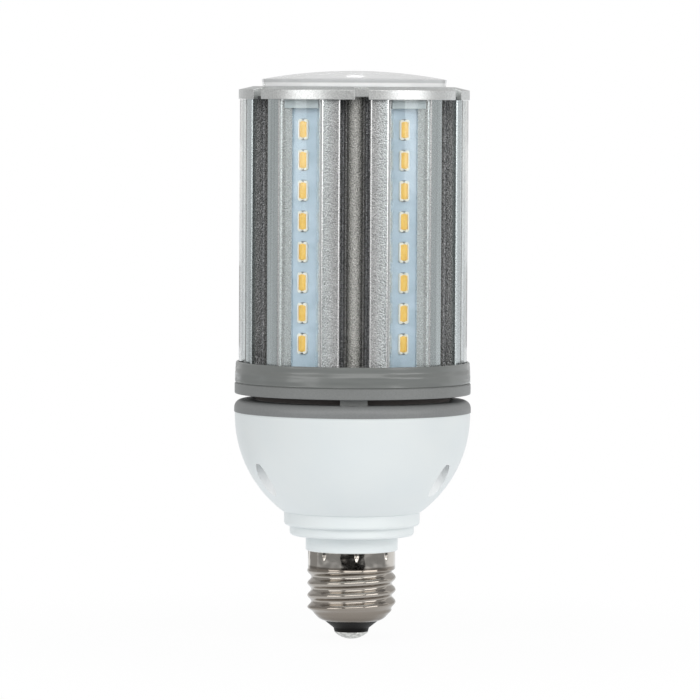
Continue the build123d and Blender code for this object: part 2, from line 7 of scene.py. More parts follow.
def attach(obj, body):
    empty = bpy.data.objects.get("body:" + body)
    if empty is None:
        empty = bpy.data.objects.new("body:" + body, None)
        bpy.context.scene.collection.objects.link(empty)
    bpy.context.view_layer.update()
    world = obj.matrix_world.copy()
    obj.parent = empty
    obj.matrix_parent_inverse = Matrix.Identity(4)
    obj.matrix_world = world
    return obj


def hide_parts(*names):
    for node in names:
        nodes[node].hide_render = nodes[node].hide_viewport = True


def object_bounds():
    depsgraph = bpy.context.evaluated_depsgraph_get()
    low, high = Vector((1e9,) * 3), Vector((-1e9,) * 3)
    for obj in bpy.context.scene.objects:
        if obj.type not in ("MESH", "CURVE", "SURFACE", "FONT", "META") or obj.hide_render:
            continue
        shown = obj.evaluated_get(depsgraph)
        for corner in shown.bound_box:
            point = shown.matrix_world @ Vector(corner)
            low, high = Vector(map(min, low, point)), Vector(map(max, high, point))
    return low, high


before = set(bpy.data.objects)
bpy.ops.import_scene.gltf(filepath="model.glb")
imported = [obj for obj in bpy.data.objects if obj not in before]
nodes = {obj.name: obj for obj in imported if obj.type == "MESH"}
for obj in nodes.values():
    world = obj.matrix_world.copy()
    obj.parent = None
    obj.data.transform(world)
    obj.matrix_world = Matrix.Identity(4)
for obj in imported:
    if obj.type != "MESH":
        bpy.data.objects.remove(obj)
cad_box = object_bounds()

MM = 0.001
scene = bpy.context.scene
scene.view_settings.view_transform = "Standard"

# Sizes that the scene's own pieces share with the solids, in millimetres
PANELS = 6
LEDS = 8
FIRST_LED = 62.66
LAST_LED = 125.24
LED_PITCH = (LAST_LED - FIRST_LED) / (LEDS - 1)
LED_OFFSET = -0.38
BOARD_FACE = 28.9
LED_LENGTH = 5.7
LED_WIDTH = 3.15
LED_HEIGHT = 0.7
# How much narrower and shorter than the LED its well and the middles of its ears are
LED_WELL = (0.7, 0.9)
LED_EAR_INSET = (1.45, 0.55)
LED_EAR = (1.1, 0.75)
LED_PAD = (1.7, 0.6)
LED_FILM = 0.12
SINK_FOOT_Z = 52.0
SINK_LENGTH = 82.8
# Flank outside the first radius, groove inside the second
GROOVE_RADII = (31.7, 30.9)
HALF_MOUTH = 7.05
COVER_SIDE = 6.7
RING_SWELL_Z = 53.7
CAP_SKIRT_Z = 134.0
LENS_FOOT_Z = 137.8
LENS_TOP_Z = 142.5
LID_TOP_Z = 44.9
SCOOP_REACH = 29.4
SCOOP_RADIUS = 3.0
SCOOP_CEILING_Z = 26.7
THREAD_PITCH = 3.629
CREST_RADIUS = 13.2
ROOT_RADIUS = 12.05
SKIRT_RADIUS = 13.0
SHELL_MOUTH_Z = -21.0
SHELL_WALL = 0.45
SKIRT_END_Z = -4.9
FULL_THREAD_Z = -6.0
FIRST_ROOT_Z = -6.28
# Ramps across a groove or a channel run over this many millimetres, so a stop at 0.3 is 3 mm from its middle
RULER = 10


def lin(code):
    """sRGB hex colour as the linear RGBA that Blender's sockets take."""
    parts = [int(code[i:i + 2], 16) / 255 for i in (1, 3, 5)]
    return tuple(p / 12.92 if p <= 0.04045 else ((p + 0.055) / 1.055) ** 2.4 for p in parts) + (1.0,)


def add(tree, kind, inputs=None, stops=None, **settings):
    """Adds a node. Settings are its own fields, inputs are values or feeding sockets, stops fill a ramp."""
    made = tree.nodes.new(kind)
    for field, value in settings.items():
        setattr(made, field, value)
    for key, value in (inputs or {}).items():
        if isinstance(value, bpy.types.NodeSocket):
            tree.links.new(value, made.inputs[key])
        else:
            made.inputs[key].default_value = value
    if stops:
        line = made.color_ramp.elements
        line.remove(line[1])
        line[0].position = stops[0][0]
        line[0].color = lin(stops[0][1])
        for position, code in stops[1:]:
            line.new(position).color = lin(code)
    return made


def material(name, **values):
    """New material with one Principled shader; returns the material, its tree and the shader."""
    mat = bpy.data.materials.new(name)
    mat.use_nodes = True
    shader = mat.node_tree.nodes["Principled BSDF"]
    for key, value in values.items():
        shader.inputs[key.replace("_", " ")].default_value = value
    return mat, mat.node_tree, shader


def mottled(name, size, dark, light, relief=0.0, **values):
    """Material that wanders between two tones in patches of a size in millimetres, with a slight relief."""
    mat, tree, shader = material(name, **values)
    place = add(tree, "ShaderNodeTexCoord").outputs["Object"]
    cloud = add(tree, "ShaderNodeTexNoise", {"Vector": place, "Scale": 1 / (size * MM), "Detail": 2.0})
    tint = add(tree, "ShaderNodeValToRGB", {"Fac": cloud.outputs["Fac"]}, stops=[(0.3, dark), (0.7, light)])
    tree.links.new(tint.outputs["Color"], shader.inputs["Base Color"])
    if relief:
        bump = add(tree, "ShaderNodeBump", {
            "Height": cloud.outputs["Fac"], "Strength": 0.5, "Distance": relief * MM,
        })
        tree.links.new(bump.outputs["Normal"], shader.inputs["Normal"])
    return mat, tree, shader


def round_axis(tree, place):
    """Sockets of the distance from the axis and of the angle round it."""
    spot = add(tree, "ShaderNodeSeparateXYZ", {0: place})
    level = add(tree, "ShaderNodeCombineXYZ", {"X": spot.outputs["X"], "Y": spot.outputs["Y"]})
    radius = add(tree, "ShaderNodeVectorMath", {0: level.outputs[0]}, operation="LENGTH")
    angle = add(tree, "ShaderNodeMath", {0: spot.outputs["Y"], 1: spot.outputs["X"]}, operation="ARCTAN2")
    return radius.outputs["Value"], angle.outputs[0]


def beside_panel(tree, radius, angle):
    """Sockets of the angle off the middle of the nearest panel and of the distance beside that middle."""
    turn = add(tree, "ShaderNodeMath", {0: angle, 1: pi / PANELS, 2: -pi / PANELS}, operation="WRAP")
    off = add(tree, "ShaderNodeMath", {0: turn.outputs[0]}, operation="ABSOLUTE")
    sine = add(tree, "ShaderNodeMath", {0: off.outputs[0]}, operation="SINE")
    beside = add(tree, "ShaderNodeMath", {0: sine.outputs[0], 1: radius}, operation="MULTIPLY")
    return off.outputs[0], beside.outputs[0]


def dress(mat, *names):
    """Gives CAD nodes a material."""
    for name in names:
        for slot in nodes[name].material_slots:
            slot.material = mat


# Camera at the height of the cap, looking a little down, as the ellipses of the rings show
DISTANCE = 1.5
TURN = radians(-0.65)
ROLL = radians(0.33)
EYE_Z = 0.1352
AIM_Z = 0.0596
AIM_LEFT = 0.00084
METRES_PER_PIXEL = 0.000297
PHOTO_PIXELS = 700
SENSOR_WIDTH = 36
eye = Vector((DISTANCE * sin(TURN), -DISTANCE * cos(TURN), EYE_Z))
across = Vector((cos(TURN), sin(TURN), 0))
aim = Vector((0, 0, AIM_Z)) - across * AIM_LEFT
camera_data = bpy.data.cameras.new("photo_camera")
camera_data.sensor_width = SENSOR_WIDTH
camera_data.lens = DISTANCE / METRES_PER_PIXEL * SENSOR_WIDTH / PHOTO_PIXELS
camera_data.clip_start = 0.05
camera_data.clip_end = 20
camera = bpy.data.objects.new("photo_camera", camera_data)
scene.collection.objects.link(camera)
look = (aim - eye).to_track_quat("-Z", "Y").to_matrix().to_4x4()
camera.matrix_world = Matrix.Translation(eye) @ look @ Matrix.Rotation(ROLL, 4, "Z")
scene.camera = camera

# Extruded aluminium, grit blasted: even and soft under a broad light, sparkling in points away from it.
# The grit is drawn about three times as coarse as the real one, because that would not show
aluminium, tree, shader = material("blasted_aluminium_extrusion", Metallic=1.0)
place = add(tree, "ShaderNodeTexCoord").outputs["Object"]
grit = add(tree, "ShaderNodeTexNoise", {
    "Vector": place, "Scale": 1 / (0.38 * MM), "Detail": 2.0, "Roughness": 0.6,
})
tint = add(tree, "ShaderNodeValToRGB", {"Fac": grit.outputs["Fac"]}, stops=[
    (0.36, "#B4B5B5"), (0.5, "#C2C3C3"), (0.62, "#D4D4D4"),
])
radius, angle = round_axis(tree, place)
off_panel, from_panel = beside_panel(tree, radius, angle)
off_groove = add(tree, "ShaderNodeMath", {0: pi / PANELS, 1: off_panel}, operation="SUBTRACT")
groove_sine = add(tree, "ShaderNodeMath", {0: off_groove.outputs[0]}, operation="SINE")
from_groove = add(tree, "ShaderNodeMath", {0: groove_sine.outputs[0], 1: radius}, operation="MULTIPLY")
# Groove floor: a warm ridge down the middle, with painted shade darkening the ribs beside it
ridge = add(tree, "ShaderNodeMapRange", {"Value": from_groove.outputs[0], "From Max": RULER * MM})
groove_tone_painted_shade = add(tree, "ShaderNodeValToRGB", {"Fac": ridge.outputs["Result"]}, stops=[
    (0.0, "#F0EEE9"), (0.14, "#EAE8E2"), (0.22, "#C8C7C4"), (0.25, "#A2A1A0"), (0.29, "#B0B0B0"),
    (0.36, "#F6F6F8"), (0.5, "#FFFFFF"),
])
# Flanks: painted shade darkens them a little toward the groove. They are rough beside every other groove,
# less so farther from it, and smooth beside the grooves between, where only the lines of the die show in
# a cool grey
swing = add(tree, "ShaderNodeMath", {0: angle, 1: PANELS / 2, 2: PANELS * pi / 4}, operation="MULTIPLY_ADD")
wave = add(tree, "ShaderNodeMath", {0: swing.outputs[0]}, operation="COSINE")
blasted = add(tree, "ShaderNodeMapRange", {"Value": wave.outputs[0], "From Min": -0.4, "From Max": 0.4})
drawn = add(tree, "ShaderNodeMapping", {"Vector": place, "Scale": (1, 1, 0.01)})
lines = add(tree, "ShaderNodeTexNoise", {
    "Vector": drawn.outputs["Vector"], "Scale": 1 / (0.9 * MM), "Detail": 1.0,
})
die_lines = add(tree, "ShaderNodeValToRGB", {"Fac": lines.outputs["Fac"]}, stops=[
    (0.35, "#C0C8C9"), (0.65, "#D6DEDF"),
])
flank_painted_shade = add(tree, "ShaderNodeValToRGB", {"Fac": ridge.outputs["Result"]}, stops=[
    (0.48, "#DADADA"), (0.75, "#EFEFEF"), (0.97, "#FFFFFF"),
])
sunk = add(tree, "ShaderNodeMapRange", {
    "Value": radius, "From Min": GROOVE_RADII[0] * MM, "From Max": GROOVE_RADII[1] * MM,
})
toned = add(tree, "ShaderNodeMix", {
    "Factor": sunk.outputs["Result"], "A": flank_painted_shade.outputs["Color"], "B": groove_tone_painted_shade.outputs["Color"],
}, data_type="RGBA")
shaded = add(tree, "ShaderNodeMix", {
    "Factor": 1.0, "A": tint.outputs["Color"], "B": toned.outputs[2],
}, data_type="RGBA", blend_type="MULTIPLY")
worn = add(tree, "ShaderNodeMath", {0: blasted.outputs["Result"], 1: 0.35}, operation="MULTIPLY")
wears_off = add(tree, "ShaderNodeMapRange", {
    "Value": from_groove.outputs[0], "From Min": 6.0 * MM, "From Max": 9.0 * MM,
    "To Min": blasted.outputs["Result"], "To Max": worn.outputs[0],
})
rough_spot = add(tree, "ShaderNodeMath", {
    0: sunk.outputs["Result"], 1: wears_off.outputs["Result"],
}, operation="MAXIMUM")
flank = add(tree, "ShaderNodeMix", {
    "Factor": rough_spot.outputs[0], "A": die_lines.outputs["Color"], "B": shaded.outputs[2],
}, data_type="RGBA")
# Channel sides: paler metal that the blasting didn't reach, lightened further with painted light, and a
# line of painted shade where the cover stands on the ledge
channel = add(tree, "ShaderNodeMapRange", {"Value": from_panel, "From Max": RULER * MM})
channel_painted_light_and_shade = add(tree, "ShaderNodeValToRGB", {"Fac": channel.outputs["Result"]}, stops=[
    (0.54, "#F8FAFA"), (0.56, "#CDCFCF"), (0.58, "#CDCFCF"), (0.6, "#F8FAFA"),
])
mouth = add(tree, "ShaderNodeMapRange", {
    "Value": from_panel, "From Min": (HALF_MOUTH + 0.1) * MM, "From Max": (HALF_MOUTH - 0.1) * MM,
})
channel_painted = add(tree, "ShaderNodeMix", {
    "Factor": mouth.outputs["Result"], "A": flank.outputs[2], "B": channel_painted_light_and_shade.outputs["Color"],
}, data_type="RGBA")
# Arrises of the grooves: a painted highlight, a thin bright line without grit
painted_arris_band = add(tree, "ShaderNodeValToRGB", {"Fac": ridge.outputs["Result"]}, stops=[
    (0.442, "#000000"), (0.449, "#FFFFFF"), (0.482, "#FFFFFF"), (0.488, "#000000"),
])
on_edge = add(tree, "ShaderNodeMath", {
    0: painted_arris_band.outputs["Color"], 1: sunk.outputs["Result"],
}, operation="SUBTRACT")
arris_highlight = add(tree, "ShaderNodeMath", {
    0: on_edge.outputs[0], 1: blasted.outputs["Result"],
}, operation="MULTIPLY")
bright = add(tree, "ShaderNodeMix", {
    "Factor": arris_highlight.outputs[0], "A": channel_painted.outputs[2], "B": lin("#CFCFCF"),
}, data_type="RGBA")
tree.links.new(bright.outputs[2], shader.inputs["Base Color"])
rough = add(tree, "ShaderNodeMapRange", {"Value": grit.outputs["Fac"], "To Min": 0.2, "To Max": 0.34})
tree.links.new(rough.outputs["Result"], shader.inputs["Roughness"])
smooth_spot = add(tree, "ShaderNodeMath", {
    0: arris_highlight.outputs[0], 1: mouth.outputs["Result"],
}, operation="MAXIMUM")
left = add(tree, "ShaderNodeMath", {
    0: rough_spot.outputs[0], 1: smooth_spot.outputs[0],
}, operation="SUBTRACT")
rub = add(tree, "ShaderNodeMapRange", {"Value": left.outputs[0], "To Min": 0.06, "To Max": 0.8})
round_edge = add(tree, "ShaderNodeBevel", {"Radius": 0.05 * MM}, samples=6)
bump = add(tree, "ShaderNodeBump", {
    "Height": grit.outputs["Fac"], "Normal": round_edge.outputs["Normal"], "Strength": rub.outputs["Result"],
    "Distance": 0.43 * MM,
})
tree.links.new(bump.outputs["Normal"], shader.inputs["Normal"])

# The same metal on the rolled edges beside the covers, burnished by the rolls
burnished = mottled("burnished_aluminium_edge", 0.6, "#D4D5D6", "#F8F8F8", Metallic=1.0, Roughness=0.2)[0]

# Clear anodised aluminium of the cap: smoother and paler than the extrusion, dull on the tabs under its skirt
cap_metal, tree, shader = material("anodised_aluminium_cap", Metallic=1.0)
place = add(tree, "ShaderNodeTexCoord").outputs["Object"]
grit = add(tree, "ShaderNodeTexNoise", {"Vector": place, "Scale": 1 / (0.4 * MM), "Detail": 2.0})
height = add(tree, "ShaderNodeSeparateXYZ", {0: place}).outputs["Z"]
skirt = add(tree, "ShaderNodeMapRange", {
    "Value": height, "From Min": (CAP_SKIRT_Z - 0.2) * MM, "From Max": CAP_SKIRT_Z * MM,
})
tint = add(tree, "ShaderNodeValToRGB", {"Fac": grit.outputs["Fac"]}, stops=[
    (0.35, "#D8DAD9"), (0.65, "#F0F2F1"),
])
dull = add(tree, "ShaderNodeMix", {
    "Factor": skirt.outputs["Result"], "A": lin("#D6DCDE"), "B": tint.outputs["Color"],
}, data_type="RGBA")
tree.links.new(dull.outputs[2], shader.inputs["Base Color"])
rough = add(tree, "ShaderNodeMapRange", {"Value": skirt.outputs["Result"], "To Min": 0.7, "To Max": 0.36})
tree.links.new(rough.outputs["Result"], shader.inputs["Roughness"])
round_edge = add(tree, "ShaderNodeBevel", {"Radius": 0.25 * MM}, samples=6)
bump = add(tree, "ShaderNodeBump", {
    "Height": grit.outputs["Fac"], "Normal": round_edge.outputs["Normal"], "Strength": 0.25,
    "Distance": 0.1 * MM,
})
tree.links.new(bump.outputs["Normal"], shader.inputs["Normal"])

# Clear polycarbonate strip: polished, with frosted sides and a faint grey cast that shows where one looks
# along it. It lets the lamps reach the board behind it
clear_strip, tree, shader = material("clear_polycarbonate_strip", Roughness=0.06, IOR=1.4)
slant = add(tree, "ShaderNodeLayerWeight", {"Blend": 0.5})
cast = add(tree, "ShaderNodeValToRGB", {"Fac": slant.outputs["Facing"]}, stops=[
    (0.45, "#F3F6F6"), (0.85, "#AEADAB"),
])
tree.links.new(cast.outputs["Color"], shader.inputs["Base Color"])
place = add(tree, "ShaderNodeTexCoord").outputs["Object"]
radius, angle = round_axis(tree, place)
from_panel = beside_panel(tree, radius, angle)[1]
frosted = add(tree, "ShaderNodeMapRange", {
    "Value": from_panel, "From Min": (COVER_SIDE - 0.2) * MM, "From Max": (COVER_SIDE + 0.2) * MM,
    "To Min": 1.0, "To Max": 0.6,
})
tree.links.new(frosted.outputs["Result"], shader.inputs["Transmission Weight"])
draw = add(tree, "ShaderNodeTexNoise", {"Vector": place, "Scale": 1 / (6 * MM), "Detail": 1.0})
ripple = add(tree, "ShaderNodeBump", {"Height": draw.outputs["Fac"], "Strength": 0.06, "Distance": 0.3 * MM})
tree.links.new(ripple.outputs["Normal"], shader.inputs["Normal"])
lamps_pass = add(tree, "ShaderNodeMixShader", {
    0: add(tree, "ShaderNodeLightPath").outputs["Is Shadow Ray"],
    1: shader.outputs["BSDF"],
    2: add(tree, "ShaderNodeBsdfTransparent", {"Color": lin("#F6F8F8")}).outputs["BSDF"],
})
tree.links.new(lamps_pass.outputs["Shader"], tree.nodes["Material Output"].inputs["Surface"])

# Milky polycarbonate dome: pale, half clear and glossy, with a line of painted shade near its edge and a
# frosted foot made bright with painted light. Its faint glow is painted light that stands for the light
# that wanders inside it
milky_dome, tree, shader = material(
    "milky_polycarbonate_dome", Roughness=0.07, IOR=1.5, Transmission_Weight=0.3,
)
place = add(tree, "ShaderNodeTexCoord").outputs["Object"]
height = add(tree, "ShaderNodeSeparateXYZ", {0: place}).outputs["Z"]
climb = add(tree, "ShaderNodeMapRange", {
    "Value": height, "From Min": LENS_FOOT_Z * MM, "From Max": LENS_TOP_Z * MM,
})
# Painted shade makes the grey line near the edge, painted light brightens the foot
tint = add(tree, "ShaderNodeValToRGB", {"Fac": climb.outputs["Result"]}, stops=[
    (0.0, "#E8EAEB"), (0.2, "#FCFCFC"), (0.28, "#BCBEBF"), (0.42, "#C4C6C7"), (0.55, "#F6F7F8"),
    (1.0, "#FAFBFB"),
])
tree.links.new(tint.outputs["Color"], shader.inputs["Base Color"])
shader.inputs["Emission Color"].default_value = (1, 1, 1, 1)
shader.inputs["Emission Strength"].default_value = 0.09

# White solder mask over a metal-core board: cool white with a slight gloss
board_white = mottled("white_solder_mask", 4, "#B8CAD8", "#C8D8E6", Roughness=0.35)[0]

# Moulded white nylon of the LED's frame, the phosphor silicone that fills it and the tin at its ends
led_white = mottled("moulded_white_nylon", 0.6, "#F8F2E6", "#FFFAF0", Roughness=0.4)[0]
phosphor, _, shader = mottled("phosphor_silicone", 0.8, "#FBC85A", "#FFD471", Roughness=0.3)
# The phosphor's faint glow is painted light
shader.inputs["Emission Color"].default_value = lin("#FFB44B")
shader.inputs["Emission Strength"].default_value = 0.03
tinned = mottled("tinned_copper_pad", 0.5, "#6E7478", "#8E959A", Metallic=1.0, Roughness=0.35)[0]

# Grey ABS. On the upper ring it is polished and slightly wavy, with a faint swell that catches a streak
# of light
grey_polished, tree, shader = material(
    "polished_grey_abs", Base_Color=lin("#787B79"), Roughness=0.2, IOR=1.53,
)
place = add(tree, "ShaderNodeTexCoord").outputs["Object"]
height = add(tree, "ShaderNodeSeparateXYZ", {0: place}).outputs["Z"]
slope = add(tree, "ShaderNodeMapRange", {
    "Value": height, "From Min": (RING_SWELL_Z + 0.8) * MM, "From Max": (RING_SWELL_Z - 0.8) * MM,
}, interpolation_type="SMOOTHSTEP")
swell = add(tree, "ShaderNodeBump", {
    "Height": slope.outputs["Result"], "Strength": 1.0, "Distance": 0.36 * MM,
})
flat = add(tree, "ShaderNodeMapping", {"Vector": place, "Scale": (0.6, 0.6, 4)})
waves = add(tree, "ShaderNodeTexNoise", {
    "Vector": flat.outputs["Vector"], "Scale": 1 / (11 * MM), "Detail": 1.0,
})
bump = add(tree, "ShaderNodeBump", {
    "Height": waves.outputs["Fac"], "Normal": swell.outputs["Normal"], "Strength": 0.6, "Distance": 0.8 * MM,
})
tree.links.new(bump.outputs["Normal"], shader.inputs["Normal"])

# The same grey, satin on the lower ring and on the lid, whose neck in the air gap is darkened with
# painted shade and quite matt
grey_satin = mottled("satin_grey_abs", 0.5, "#7C7E7D", "#838584", 0.012, Roughness=0.42, IOR=1.53)[0]
lid_grey, tree, shader = material("satin_grey_abs_lid", IOR=1.53)
place = add(tree, "ShaderNodeTexCoord").outputs["Object"]
height = add(tree, "ShaderNodeSeparateXYZ", {0: place}).outputs["Z"]
tooth = add(tree, "ShaderNodeTexNoise", {"Vector": place, "Scale": 1 / (0.5 * MM), "Detail": 2.0})
tint = add(tree, "ShaderNodeValToRGB", {"Fac": tooth.outputs["Fac"]}, stops=[
    (0.3, "#7E8080"), (0.7, "#848686"),
])
neck = add(tree, "ShaderNodeMapRange", {
    "Value": height, "From Min": (LID_TOP_Z + 0.02) * MM, "From Max": (LID_TOP_Z + 0.06) * MM,
})
# The neck is darkened with painted shade
lid_with_painted_shade = add(tree, "ShaderNodeMix", {
    "Factor": neck.outputs["Result"], "A": tint.outputs["Color"], "B": lin("#6A6563"),
}, data_type="RGBA")
tree.links.new(lid_with_painted_shade.outputs[2], shader.inputs["Base Color"])
matt = add(tree, "ShaderNodeMapRange", {"Value": neck.outputs["Result"], "To Min": 0.45, "To Max": 1.0})
tree.links.new(matt.outputs["Result"], shader.inputs["Roughness"])

# White PBT of the driver housing: a cool white with a soft moulded gloss, with painted light whitening
# the three screw scoops
white_pbt, tree, shader = mottled(
    "moulded_white_pbt", 14, "#E4EAEB", "#E7ECEC", 0.05, Roughness=0.38, IOR=1.5,
)
place = add(tree, "ShaderNodeTexCoord").outputs["Object"]
height = add(tree, "ShaderNodeSeparateXYZ", {0: place}).outputs["Z"]
radius, angle = round_axis(tree, place)
third = add(tree, "ShaderNodeMath", {0: angle, 1: pi / 2 + pi / 3, 2: pi / 2 - pi / 3}, operation="WRAP")
off = add(tree, "ShaderNodeMath", {0: third.outputs[0], 1: pi / 2}, operation="SUBTRACT")
off_cosine = add(tree, "ShaderNodeMath", {0: off.outputs[0]}, operation="COSINE")
off_sine = add(tree, "ShaderNodeMath", {0: off.outputs[0]}, operation="SINE")
reach = add(tree, "ShaderNodeMath", {
    0: radius, 1: off_cosine.outputs[0], 2: -SCOOP_REACH * MM,
}, operation="MULTIPLY_ADD")
side = add(tree, "ShaderNodeMath", {0: radius, 1: off_sine.outputs[0]}, operation="MULTIPLY")
apart = add(tree, "ShaderNodeCombineXYZ", {"X": reach.outputs[0], "Y": side.outputs[0]})
away = add(tree, "ShaderNodeVectorMath", {0: apart.outputs[0]}, operation="LENGTH")
hollow = add(tree, "ShaderNodeMapRange", {
    "Value": away.outputs["Value"],
    "From Min": (SCOOP_RADIUS + 0.1) * MM,
    "From Max": (SCOOP_RADIUS - 0.1) * MM,
})
below = add(tree, "ShaderNodeMapRange", {
    "Value": height,
    "From Min": (SCOOP_CEILING_Z + 0.15) * MM,
    "From Max": (SCOOP_CEILING_Z + 0.05) * MM,
})
scoop = add(tree, "ShaderNodeMath", {
    0: hollow.outputs["Result"], 1: below.outputs["Result"],
}, operation="MULTIPLY")
# Painted light: the scoops are whitened
scoop_painted_light = add(tree, "ShaderNodeMix", {
    "Factor": scoop.outputs[0], "A": shader.inputs["Base Color"].links[0].from_socket, "B": lin("#FFFFFF"),
}, data_type="RGBA")
tree.links.new(scoop_painted_light.outputs[2], shader.inputs["Base Color"])

# Nickel plate on the rolled brass shell: a warm mirror on the skirt, scuffed on the thread. Painted shade
# darkens the thread, the band where it begins more, and the nose most, which is browner too. The thin
# sheet is not quite even, so what it mirrors has soft, uneven edges
nickel, tree, shader = material("nickel_plated_shell", Metallic=1.0)
place = add(tree, "ShaderNodeTexCoord").outputs["Object"]
height = add(tree, "ShaderNodeSeparateXYZ", {0: place}).outputs["Z"]
haze = add(tree, "ShaderNodeTexNoise", {"Vector": place, "Scale": 1 / (3 * MM), "Detail": 3.0})
rise = add(tree, "ShaderNodeMapRange", {"Value": height, "From Min": SHELL_MOUTH_Z * MM, "From Max": 0.0})
# Painted shade: darker on the thread, on the band where it begins and on the nose
tint = add(tree, "ShaderNodeValToRGB", {"Fac": rise.outputs["Result"]}, stops=[
    (0.0, "#6A625A"), (0.08, "#867E75"), (0.2, "#968E85"), (0.27, "#AAA39B"), (0.7, "#ADA79F"),
    (0.75, "#968E85"), (0.78, "#968E85"), (0.8, "#D0CAC2"),
])
tree.links.new(tint.outputs["Color"], shader.inputs["Base Color"])
rough = add(tree, "ShaderNodeMapRange", {"Value": haze.outputs["Fac"], "To Min": 0.06, "To Max": 0.12})
scuffed = add(tree, "ShaderNodeMapRange", {
    "Value": height, "From Min": SKIRT_END_Z * MM, "From Max": FULL_THREAD_Z * MM, "To Max": 0.04,
})
worn = add(tree, "ShaderNodeMath", {
    0: rough.outputs["Result"], 1: scuffed.outputs["Result"],
}, operation="ADD")
tree.links.new(worn.outputs[0], shader.inputs["Roughness"])
uneven = add(tree, "ShaderNodeTexNoise", {"Vector": place, "Scale": 1 / (5 * MM), "Detail": 1.0})
bump = add(tree, "ShaderNodeBump", {"Height": uneven.outputs["Fac"], "Strength": 0.5, "Distance": 0.45 * MM})
tree.links.new(bump.outputs["Normal"], shader.inputs["Normal"])

# Black fired glass of the insulator, and the dull solder of the contact
black_glass = mottled("black_fired_glass", 2, "#0B0A0A", "#121110", 0.03, Roughness=0.45, IOR=1.2)[0]
solder = mottled("dull_tin_solder", 0.9, "#AEAEAA", "#E2E2DE", 0.12, Metallic=1.0, Roughness=0.45)[0]

# Inner pieces: plated screws, the driver's board and its parts, and the leads
zinc = mottled("zinc_plated_steel", 1.2, "#A9ABAD", "#C4C6C8", Metallic=1.0, Roughness=0.3)[0]
laminate = mottled("green_glass_laminate", 1.0, "#29613E", "#34754C", Roughness=0.35)[0]
ferrite = mottled("pressed_ferrite", 0.7, "#28292B", "#37383B", 0.05, Roughness=0.6)[0]
tape = mottled("polyester_winding_tape", 3, "#D2B043", "#E0C157", Roughness=0.3)[0]
sleeve = mottled("shrunk_vinyl_sleeve", 4, "#1A202B", "#232B39", 0.04, Roughness=0.35)[0]
dip = mottled("dipped_epoxy", 2.5, "#83361F", "#984228", 0.06, Roughness=0.25)[0]
moulding = mottled("black_epoxy_moulding", 0.4, "#171718", "#212122", 0.02, Roughness=0.55)[0]
red_vinyl = mottled("red_vinyl_insulation", 2, "#A82B26", "#BC3630", Roughness=0.4)[0]

dress(aluminium, "heat_sink")
dress(cap_metal, "top_cap")
dress(milky_dome, "top_lens")
dress(grey_polished, "sink_ring")
dress(grey_satin, "vent_ring")
dress(lid_grey, "housing_lid")
dress(white_pbt, "driver_housing")
dress(black_glass, "base_insulator")
dress(solder, "contact_tip")
dress(zinc, "cap_screws", "foot_screws", "lid_screws", "housing_screws", "board_screws")
dress(board_white, "top_led_board", *[f"led_board_{i}" for i in range(1, PANELS + 1)])
dress(phosphor, "top_led_chips")
dress(clear_strip, *[f"panel_cover_{i}" for i in range(1, PANELS + 1)])
dress(laminate, "driver_board")
dress(ferrite, "transformer_core")
dress(tape, "transformer_winding")
dress(sleeve, "bulk_capacitor", "output_capacitor")
dress(dip, "film_capacitor")
dress(moulding, "bridge_rectifier")
dress(red_vinyl, "live_lead", "neutral_lead", "output_leads")


def new_tree(name, sizes):
    """Geometry tree with one named input for each size, and the sockets that give them."""
    tree = bpy.data.node_groups.new(name, "GeometryNodeTree")
    tree.interface.new_socket("Geometry", in_out="OUTPUT", socket_type="NodeSocketGeometry")
    for label, value in sizes.items():
        kind = "NodeSocketInt" if isinstance(value, int) else "NodeSocketFloat"
        tree.interface.new_socket(label, in_out="INPUT", socket_type=kind)
    given = tree.nodes.new("NodeGroupInput")
    return tree, {label: given.outputs[label] for label in sizes}


def grow(tree, name, sizes, last, mat):
    """Ends the tree with Realize Instances and Set Material, and turns its result into a plain mesh."""
    real = add(tree, "GeometryNodeRealizeInstances", {"Geometry": last})
    coat = add(tree, "GeometryNodeSetMaterial", {"Geometry": real.outputs["Geometry"], "Material": mat})
    add(tree, "NodeGroupOutput", {"Geometry": coat.outputs["Geometry"]})
    holder = bpy.data.objects.new(name, bpy.data.meshes.new(name))
    scene.collection.objects.link(holder)
    modifier = holder.modifiers.new(name, "NODES")
    modifier.node_group = tree
    for item in tree.interface.items_tree:
        if item.item_type == "SOCKET" and item.in_out == "INPUT":
            modifier[item.identifier] = sizes[item.name]
    bpy.context.view_layer.update()
    made = bpy.data.meshes.new_from_object(holder.evaluated_get(bpy.context.evaluated_depsgraph_get()))
    holder.modifiers.remove(modifier)
    holder.data = made
    made.name = name
    return holder


def round_panels(tree, size, part):
    """Repeats what belongs to the first panel round the axis."""
    hub = add(tree, "GeometryNodeMeshLine", {"Count": size["Panels"], "Offset": (0, 0, 0)})
    share = add(tree, "ShaderNodeMath", {0: 2 * pi, 1: size["Panels"]}, operation="DIVIDE")
    index = add(tree, "GeometryNodeInputIndex")
    angle = add(tree, "ShaderNodeMath", {
        0: index.outputs["Index"], 1: share.outputs[0],
    }, operation="MULTIPLY")
    turn = add(tree, "ShaderNodeCombineXYZ", {"Z": angle.outputs[0]})
    ring = add(tree, "GeometryNodeInstanceOnPoints", {
        "Points": hub.outputs["Mesh"], "Instance": part, "Rotation": turn.outputs["Vector"],
    })
    return ring.outputs["Instances"]


